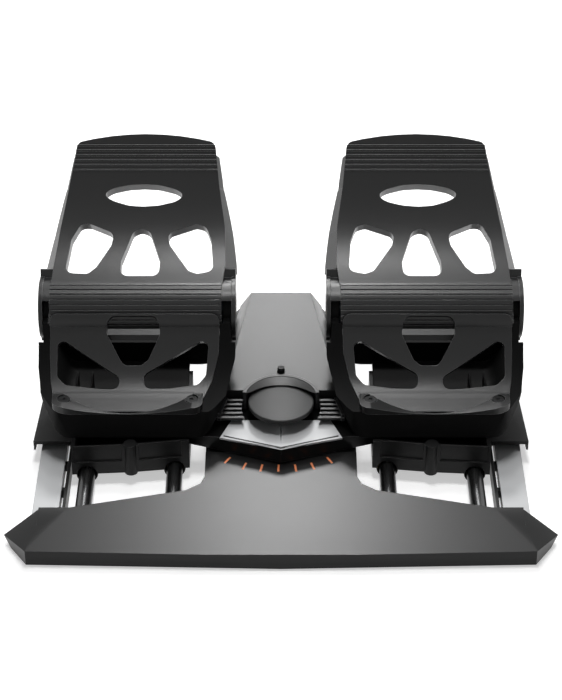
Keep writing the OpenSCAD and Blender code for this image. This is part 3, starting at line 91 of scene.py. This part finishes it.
# Node graphs
class Graph:
    """A material's node graph, with short calls to add nodes and join them."""

    def __init__(self, name):
        self.material = bpy.data.materials.new(name)
        self.material.use_nodes = True
        self.tree = self.material.node_tree
        self.shader = self.tree.nodes["Principled BSDF"]
        self.output = self.tree.nodes["Material Output"]
        self.place = self.add("ShaderNodeTexCoord").outputs["Object"]

    def add(self, kind, inputs=None, **settings):
        node = self.tree.nodes.new(kind)
        for key, value in settings.items():
            setattr(node, key, value)
        for key, value in (inputs or {}).items():
            self.set(node.inputs[key], value)
        return node

    def set(self, socket, value):
        if isinstance(value, bpy.types.NodeSocket):
            self.tree.links.new(value, socket)
        else:
            socket.default_value = value

    def stretched(self, scale):
        return self.add("ShaderNodeMapping", {"Vector": self.place, "Scale": scale}).outputs["Vector"]

    def noise(self, size, detail=3.0, vector=None, rough=0.5):
        inputs = {"Vector": vector or self.place, "Scale": 1 / size, "Detail": detail, "Roughness": rough}
        return self.add("ShaderNodeTexNoise", inputs).outputs["Fac"]

    def grain(self, size):
        return self.add("ShaderNodeTexVoronoi", {"Vector": self.place, "Scale": 1 / size}).outputs["Distance"]

    def between(self, factor, low, high, from_low=0.0, from_high=1.0):
        """Factor moved from one range to another."""
        start = {"From Min": from_low, "From Max": from_high}
        inputs = {"Value": factor, "To Min": low, "To Max": high, **start}
        return self.add("ShaderNodeMapRange", inputs).outputs["Result"]

    def mix(self, factor, first, second):
        node = self.add("ShaderNodeMix", data_type="RGBA")
        self.set(node.inputs[0], factor)
        self.set(node.inputs[6], first)
        self.set(node.inputs[7], second)
        return node.outputs[2]

    def math(self, operation, first, second=0.0):
        node = self.add("ShaderNodeMath", operation=operation)
        self.set(node.inputs[0], first)
        self.set(node.inputs[1], second)
        return node.outputs[0]

    def edges(self, radius):
        """Rounded normal, and a mask that is 1 on the sharp edges and 0 on the faces."""
        rounded = self.add("ShaderNodeBevel", {"Radius": radius}, samples=6).outputs["Normal"]
        flat = self.add("ShaderNodeNewGeometry").outputs["Normal"]
        alike = self.add("ShaderNodeVectorMath", {0: rounded, 1: flat}, operation="DOT_PRODUCT")
        return rounded, self.between(alike.outputs["Value"], 1.0, 0.0, *EDGE_MASK)

    def bump(self, height, distance, normal, strength=1.0):
        inputs = {"Height": height, "Distance": distance, "Strength": strength, "Normal": normal}
        return self.add("ShaderNodeBump", inputs).outputs["Normal"]


def grey(level, blue=0.0):
    """Grey of one level, made a little bluer by a share."""
    return (level, level * (1 + blue / 2), level * (1 + blue), 1.0)


def scaled(tone, share):
    """Colour made lighter or darker, never past white."""
    return tuple(min(1, c * share) for c in tone[:3]) + OPAQUE


# Materials
def moulded(name, level, roughness, grain, deep, gloss=0.3, edge=1.6, blue=0.03):
    """Moulded plastic: fine grain, cloudy tone, sharp edges painted lighter as a painted highlight that also
    stands for rubbed wear.
    """
    g = Graph(name)
    rounded, mask = g.edges(EDGE_ROUND)
    tone = grey(level, blue)
    cloud = g.between(g.noise(CLOUD_SIZE), 0, 1, *MIDDLE)
    base = g.mix(cloud, scaled(tone, CLOUD_TONES[0]), scaled(tone, CLOUD_TONES[1]))
    # Sharp edges painted lighter by the edge factor: a painted highlight, with some rubbed wear.
    g.set(g.shader.inputs["Base Color"], g.mix(mask, base, grey(level * edge, blue)))
    smear = g.noise(SMEAR_SIZE, 5.0)
    low = roughness * (1 - SMEAR_SPREAD)
    high = roughness * (1 + SMEAR_SPREAD)
    g.set(g.shader.inputs["Roughness"], g.between(smear, low, high, *MIDDLE))
    height = g.math("ADD", g.grain(grain), g.noise(grain * 2))
    g.set(g.shader.inputs["Normal"], g.bump(height, deep, rounded))
    g.shader.inputs["Specular IOR Level"].default_value = gloss
    return g.material


def brushed(name, tone, roughness, along):
    """Metal with fine lines along one axis."""
    g = Graph(name)
    rounded = g.edges(EDGE_ROUND)[0]
    scale = [1.0, 1.0, 1.0]
    scale[along] = LINE_STRETCH
    lines = g.noise(LINE_SIZE, 4.0, g.stretched(scale), 0.6)
    streaks = g.noise(STREAK_SIZE, 2.0, g.stretched(scale))
    fine = g.math("MULTIPLY", lines, LINE_SHARE)
    mixed = g.between(g.math("ADD", fine, g.math("MULTIPLY", streaks, 1 - LINE_SHARE)), 0, 1, 0.35, 0.65)
    dark = scaled(tone, LINE_TONES[0])
    light = scaled(tone, LINE_TONES[1])
    g.set(g.shader.inputs["Base Color"], g.mix(mixed, dark, light))
    low = roughness * LINE_ROUGH[0]
    high = roughness * LINE_ROUGH[1]
    g.set(g.shader.inputs["Roughness"], g.between(lines, low, high, *MIDDLE))
    g.set(g.shader.inputs["Normal"], g.bump(lines, SCRATCH_DEEP, rounded, LINE_STRENGTH))
    g.shader.inputs["Metallic"].default_value = 1.0
    return g.material


def rubber(name, level):
    """Soft rubber: no gloss, fine speckle."""
    g = Graph(name)
    rounded = g.edges(EDGE_ROUND)[0]
    speck = g.noise(SPECK_SIZE, 4.0)
    g.set(g.shader.inputs["Base Color"], g.mix(speck, grey(level * 0.8), grey(level * 1.3)))
    g.set(g.shader.inputs["Roughness"], g.between(speck, 0.75, 0.95))
    g.set(g.shader.inputs["Normal"], g.bump(speck, SPECK_DEEP, rounded))
    return g.material


def board(name, dark, light):
    """Circuit board: green lacquer over a faint pattern of tracks."""
    g = Graph(name)
    rounded = g.edges(EDGE_ROUND)[0]
    tracks = g.add("ShaderNodeTexBrick", {"Vector": g.place, "Scale": 1 / TRACK_SIZE}).outputs["Fac"]
    g.set(g.shader.inputs["Base Color"], g.mix(tracks, dark, light))
    g.set(g.shader.inputs["Roughness"], g.between(tracks, 0.3, 0.5))
    g.set(g.shader.inputs["Normal"], g.bump(tracks, TRACK_DEEP, rounded))
    return g.material


def print_ink(name, tone):
    """Printed ink with a slightly uneven cover."""
    g = Graph(name)
    flat = g.add("ShaderNodeNewGeometry").outputs["Normal"]
    speck = g.noise(INK_SPECK, 4.0)
    g.set(g.shader.inputs["Base Color"], g.mix(g.between(speck, 0, 1, 0.35, 0.75), tone, scaled(tone, 0.75)))
    g.set(g.shader.inputs["Roughness"], g.between(speck, 0.35, 0.55))
    g.set(g.shader.inputs["Normal"], g.bump(speck, INK_DEEP, flat))
    return g.material


# Plastics and painted pieces: tone, gloss and grain; edge sets how much lighter the sharp edges are painted,
# as a painted highlight
SHELLS = {
    "dark_shell": dict(level=0.007, roughness=0.36, grain=0.35 * MM, deep=0.02 * MM, gloss=0.19),
    "satin_shell": dict(level=0.008, roughness=0.30, grain=0.30 * MM, deep=0.004 * MM, gloss=0.22),
    # Near-black matte cradle: partly its black plastic, partly painted shade that keeps the heel rests'
    # openings dark.
    "cradle_shell": dict(level=0.003, roughness=0.55, grain=0.40 * MM, deep=0.02 * MM, gloss=0.05),
    # Gloss black gets its sharp edges painted far lighter: a painted highlight line along the rocker's
    # chevron.
    "gloss_shell": dict(level=0.003, roughness=0.28, grain=0.6 * MM, deep=0.002 * MM, gloss=0.25, edge=70),
    "pedal_shell": dict(level=0.009, roughness=0.30, grain=0.40 * MM, deep=0.02 * MM, gloss=0.27, edge=20),
    "fin_shell": dict(level=0.02, roughness=0.32, grain=0.35 * MM, deep=0.02 * MM, gloss=0.3, edge=16),
    "hub_shell": dict(level=0.014, roughness=0.44, grain=0.6 * MM, deep=0.002 * MM, gloss=0.24),
    "silver_paint": dict(level=0.50, roughness=0.45, grain=0.3 * MM, deep=0.005 * MM, gloss=0.4, edge=1.2),
    "bright_strip": dict(level=0.55, roughness=0.38, grain=0.3 * MM, deep=0.005 * MM, gloss=0.5, edge=1.2),
    # Near-black matte steel for the hinge shafts: painted shade that keeps the heel rests' openings dark.
    "dark_steel": dict(level=0.003, roughness=0.60, grain=0.3 * MM, deep=0.01 * MM, gloss=0.04),
    "sensor_shell": dict(level=0.03, roughness=0.5, grain=0.4 * MM, deep=0.02 * MM, blue=0.8),
}
# Metals: tone, gloss and the axis that the lines follow
METALS = {
    "rod_steel": dict(tone=grey(0.10, STEEL_BLUE), roughness=0.28, along=1),
    "screw_steel": dict(tone=grey(0.02, STEEL_BLUE), roughness=0.34, along=0),
    "spring_steel": dict(tone=grey(0.40, STEEL_BLUE), roughness=0.30, along=2),
    "chrome_trim": dict(tone=grey(0.80, STEEL_BLUE), roughness=0.25, along=1),
    "bush_brass": dict(tone=(0.55, 0.38, 0.16, 1.0), roughness=0.30, along=0),
}
finishes = {name: moulded(name, **values) for name, values in SHELLS.items()}
finishes.update({name: brushed(name, **values) for name, values in METALS.items()})
finishes["foot_rubber"] = rubber("foot_rubber", level=0.012)
finishes["board"] = board("board", dark=(0.01, 0.09, 0.03, 1), light=(0.02, 0.16, 0.06, 1))
ORANGE = print_ink("orange_ink", tone=(0.75, 0.22, 0.07, 1.0))

# Pieces whose finish isn't the plain one of their material slot
OWN_FINISH = {
    # Cradles near-black matte: their black plastic, darkened further as painted shade inside the heel rests'
    # openings.
    "cradle_left": "cradle_shell",
    "cradle_right": "cradle_shell",
    # Hinge shafts near-black matte, as painted shade inside the heel rests' openings.
    "hinge_shaft_left": "dark_steel",
    "hinge_shaft_right": "dark_steel",
    "hub_cap": "hub_shell",
    "louvre_grille": "fin_shell",
    "rocker_insert": "silver_paint",
}


# Carried CAD nodes
def dress(name, finish):
    """Finish and smooth shading for one CAD node, its mesh left as it is."""
    obj = nodes[name]
    obj.data.materials.clear()
    obj.data.materials.append(finishes[finish])
    if "custom_normal" in obj.data.attributes:
        obj.data.attributes.remove(obj.data.attributes["custom_normal"])
    obj.data.polygons.foreach_set("use_smooth", [True] * len(obj.data.polygons))
    weld = obj.modifiers.new("weld", "WELD")
    weld.merge_threshold = WELD_REACH
    split = obj.modifiers.new("split", "EDGE_SPLIT")
    split.split_angle = math.radians(SMOOTH_ANGLE)
    split.use_edge_sharp = False


for part in frame["record"]["subparts"]:
    dress(part["node"], OWN_FINISH.get(part["node"], part["material_slot"]))


# Pieces made here
def piece(name, mesh_maker, finish, body):
    mesh = bpy.data.meshes.new(name)
    bm = bmesh.new()
    mesh_maker(bm)
    bmesh.ops.recalc_face_normals(bm, faces=bm.faces)
    bm.to_mesh(mesh)
    bm.free()
    mesh.materials.append(finish)
    obj = bpy.data.objects.new(name, mesh)
    bpy.context.scene.collection.objects.link(obj)
    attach(obj, body)
    return obj


def prism(bm, points, low, high):
    """Closed prism over an outline of points in X and Y, between two heights given as functions of Y."""
    bottom = [bm.verts.new((x, y, low(y))) for x, y in points]
    top = [bm.verts.new((x, y, high(y))) for x, y in points]
    bm.faces.new(bottom)
    bm.faces.new(top)
    for i in range(len(points)):
        j = (i + 1) % len(points)
        bm.faces.new((bottom[i], bottom[j], top[j], top[i]))


def apron_top(y):
    """Height of the sloping top face of the front bar."""
    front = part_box("front_bar")[0].y
    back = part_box("front_bar")[1].y
    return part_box("front_bar")[1].z - (back - y) * math.tan(math.radians(APRON_SLOPE))


HUB = (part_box("hub_cap")[0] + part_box("hub_cap")[1]) / 2
TICKS_EACH_SIDE = 3
TICK_SPREAD = 13.6 * MM
TICK_SHIFT = -2 * MM
TICK_ROW = -77 * MM
TICK_BEND = 9 * MM
TICK_CURVE = 3.3
TICK_FAN = 1.6
TICK_LONG = 8 * MM
TICK_HALF = 0.8 * MM
PRINT_SUNK = 0.2 * MM
PRINT_HIGH = 0.12 * MM


def ticks(bm):
    """Seven short radial marks on a flattened arc in front of the rocker."""
    for i in range(-TICKS_EACH_SIDE, TICKS_EACH_SIDE + 1):
        x = TICK_SHIFT + i * TICK_SPREAD
        y = TICK_ROW + TICK_BEND * abs(i / TICKS_EACH_SIDE) ** TICK_CURVE
        out = Vector((x - HUB.x, (y - HUB.y) * TICK_FAN)).normalized()
        side = Vector((-out.y, out.x))
        at = Vector((x, y))
        ends = [(-1, -1), (1, -1), (1, 1), (-1, 1)]
        corners = [tuple(at + out * TICK_LONG / 2 * u + side * TICK_HALF * v) for u, v in ends]
        prism(bm, corners, lambda v: apron_top(v) - PRINT_SUNK, lambda v: apron_top(v) + PRINT_HIGH)


piece("deck_ticks", ticks, ORANGE, "base")


# Thin lines along the front of the rocker's deck: a pale strip as a painted highlight on its lip, and a black
# strip behind it as a painted shadow line
DECK_TOP = 39.8 * MM
CHEVRON_REACH = 44.5 * MM
CHEVRON_SLOPE = 1 / 3
LINE_HALF = 46 * MM
HIGHLIGHT_LINE_FRONT = 0.2 * MM
HIGHLIGHT_LINE_BACK = 1.1 * MM
HIGHLIGHT_LINE_HIGH = 0.3 * MM
SHADOW_LINE_FRONT = 1.3 * MM
SHADOW_LINE_BACK = 3 * MM
SHADOW_LINE_HIGH = 0.9 * MM


def chevron_line(front, back, top):
    """Maker of a thin line on the rocker's deck, between two distances behind its front edge."""
    def maker(bm):
        start = HUB.y - CHEVRON_REACH
        across = (-LINE_HALF, 0, LINE_HALF)
        outline = [(x, front) for x in across] + [(x, back) for x in reversed(across)]
        points = [(x, start + behind + abs(x) * CHEVRON_SLOPE) for x, behind in outline]
        prism(bm, points, lambda v: DECK_TOP - PRINT_SUNK, lambda v: DECK_TOP + top)
    return maker


# Pale strip painted as the highlight on the rocker's lip, black strip painted as the shadow line behind it.
highlight_line = chevron_line(HIGHLIGHT_LINE_FRONT, HIGHLIGHT_LINE_BACK, HIGHLIGHT_LINE_HIGH)
shadow_line = chevron_line(SHADOW_LINE_FRONT, SHADOW_LINE_BACK, SHADOW_LINE_HIGH)
piece("rocker_highlight_line", highlight_line, finishes["bright_strip"], "rocker")
piece("rocker_shadow_line", shadow_line, finishes["gloss_shell"], "rocker")


# Sloping lip of the collar behind the hub
COLLAR_STEPS = 24
COLLAR_START_SHARE = 0.06
COLLAR_TURN_SHARE = 0.88
COLLAR_TAPER = 0.6
COLLAR_OUTER = 29.5 * MM
COLLAR_INNER = 20.5 * MM
COLLAR_LEAST = 1 * MM
COLLAR_TOP = 59.4 * MM
COLLAR_DROP = 2.4 * MM
COLLAR_THICK = 0.8 * MM


def collar_row(share):
    """Four corners of the lip at a share of its way round the rear of the hub."""
    turn = math.pi * (COLLAR_START_SHARE + COLLAR_TURN_SHARE * share)
    reach = COLLAR_OUTER - COLLAR_INNER
    wide = reach * math.sin(math.pi * share) ** COLLAR_TAPER + COLLAR_LEAST
    near = COLLAR_OUTER - wide
    low = COLLAR_TOP - COLLAR_DROP * wide / (reach + COLLAR_LEAST)
    corners = [
        (COLLAR_OUTER, COLLAR_TOP), (near, low),
        (near, low - COLLAR_THICK), (COLLAR_OUTER, COLLAR_TOP - COLLAR_THICK),
    ]
    return [(HUB.x + r * math.cos(turn), HUB.y + r * math.sin(turn), z) for r, z in corners]


def collar_lip(bm):
    """Sloping lip of the spine's collar, which reaches over the rear of the hub cap."""
    rows = [[bm.verts.new(p) for p in collar_row(i / COLLAR_STEPS)] for i in range(COLLAR_STEPS + 1)]
    for first, second in zip(rows, rows[1:]):
        for k in range(len(first)):
            n = (k + 1) % len(first)
            bm.faces.new((first[k], first[n], second[n], second[k]))
    bm.faces.new(rows[0])
    bm.faces.new(rows[-1])


piece("collar_lip", collar_lip, finishes["satin_shell"], "base")


# Camera
def aim(obj, target):
    obj.rotation_euler = (target - obj.location).to_track_quat("-Z", "Y").to_euler()


lens = bpy.data.cameras.new("camera")
lens.sensor_fit = "VERTICAL"
lens.sensor_height = SENSOR_HIGH
lens.lens = LENS
lens.clip_end = SEEN_TO
camera = bpy.data.objects.new("camera", lens)
up = math.radians(CAMERA_UP)
camera.location = LOOK_AT + CAMERA_AWAY * Vector((0, -math.cos(up), math.sin(up)))
aim(camera, LOOK_AT)
bpy.context.scene.collection.objects.link(camera)
bpy.context.scene.camera = camera


# Floor, world and lamps
def seen_plainly(tree):
    """1 for camera, glossy and transmission rays, 0 for the light that falls on the object."""
    path = tree.nodes.new("ShaderNodeLightPath")
    first = tree.nodes.new("ShaderNodeMath")
    first.operation = "MAXIMUM"
    second = tree.nodes.new("ShaderNodeMath")
    second.operation = "MAXIMUM"
    tree.links.new(path.outputs["Is Camera Ray"], first.inputs[0])
    tree.links.new(path.outputs["Is Glossy Ray"], first.inputs[1])
    tree.links.new(first.outputs[0], second.inputs[0])
    tree.links.new(path.outputs["Is Transmission Ray"], second.inputs[1])
    return second.outputs[0]


def make_floor():
    """Pale paper under the object, which looks white from any side."""
    mesh = bpy.data.meshes.new("floor")
    bm = bmesh.new()
    bmesh.ops.create_grid(bm, x_segments=2, y_segments=2, size=FLOOR_HALF)
    bm.to_mesh(mesh)
    bm.free()
    floor = bpy.data.objects.new("floor", mesh)
    bpy.context.scene.collection.objects.link(floor)
    g = Graph("floor_paper")
    cloud = g.noise(FLOOR_CLOUD)
    g.set(g.shader.inputs["Base Color"], g.mix(cloud, grey(0.80), grey(0.84)))
    g.shader.inputs["Roughness"].default_value = 0.9
    g.shader.inputs["Specular IOR Level"].default_value = 0.0
    glow = g.add("ShaderNodeEmission", {"Color": (1, 1, 1, 1)})
    g.set(glow.inputs["Strength"], g.math("MULTIPLY", seen_plainly(g.tree), FLOOR_GLOW))
    total = g.add("ShaderNodeAddShader", {0: g.shader.outputs[0], 1: glow.outputs[0]})
    g.set(g.output.inputs["Surface"], total.outputs[0])
    mesh.materials.append(g.material)


make_floor()

world = bpy.data.worlds.new("studio")
world.use_nodes = True
bpy.context.scene.world = world
background = world.node_tree.nodes["Background"]
background.inputs["Color"].default_value = (1, 1, 1, 1)
level = world.node_tree.nodes.new("ShaderNodeMapRange")
level.inputs["To Min"].default_value = WORLD_LIGHT
level.inputs["To Max"].default_value = 1.0
world.node_tree.links.new(seen_plainly(world.node_tree), level.inputs["Value"])
world.node_tree.links.new(level.outputs["Result"], background.inputs["Strength"])


def lamp(name, azimuth, elevation, away, wide, high, watts):
    """Soft box that looks at the object. Azimuth 0 is behind the camera, 180 behind the object."""
    light = bpy.data.lights.new(name, "AREA")
    light.shape = "RECTANGLE"
    light.size = wide
    light.size_y = high
    light.energy = watts
    obj = bpy.data.objects.new(name, light)
    a = math.radians(azimuth)
    e = math.radians(elevation)
    way = Vector((math.sin(a) * math.cos(e), -math.cos(a) * math.cos(e), math.sin(e)))
    obj.location = LOOK_AT + away * way
    aim(obj, LOOK_AT)
    bpy.context.scene.collection.objects.link(obj)


LAMPS = {
    "top": dict(azimuth=0, elevation=87, away=1.9, wide=0.3, high=0.4, watts=16),
    "overhead": dict(azimuth=180, elevation=72, away=1.9, wide=0.3, high=0.4, watts=8),
    "back_high": dict(azimuth=180, elevation=53, away=1.8, wide=0.25, high=0.3, watts=15),
    "back_low": dict(azimuth=180, elevation=30, away=1.8, wide=0.25, high=0.2, watts=5),
    "left": dict(azimuth=-75, elevation=30, away=1.9, wide=0.4, high=0.7, watts=0.5),
    "right": dict(azimuth=75, elevation=30, away=1.9, wide=0.4, high=0.7, watts=0.3),
}
for name, values in LAMPS.items():
    lamp(name, **values)

bpy.context.scene.view_settings.view_transform = "Standard"
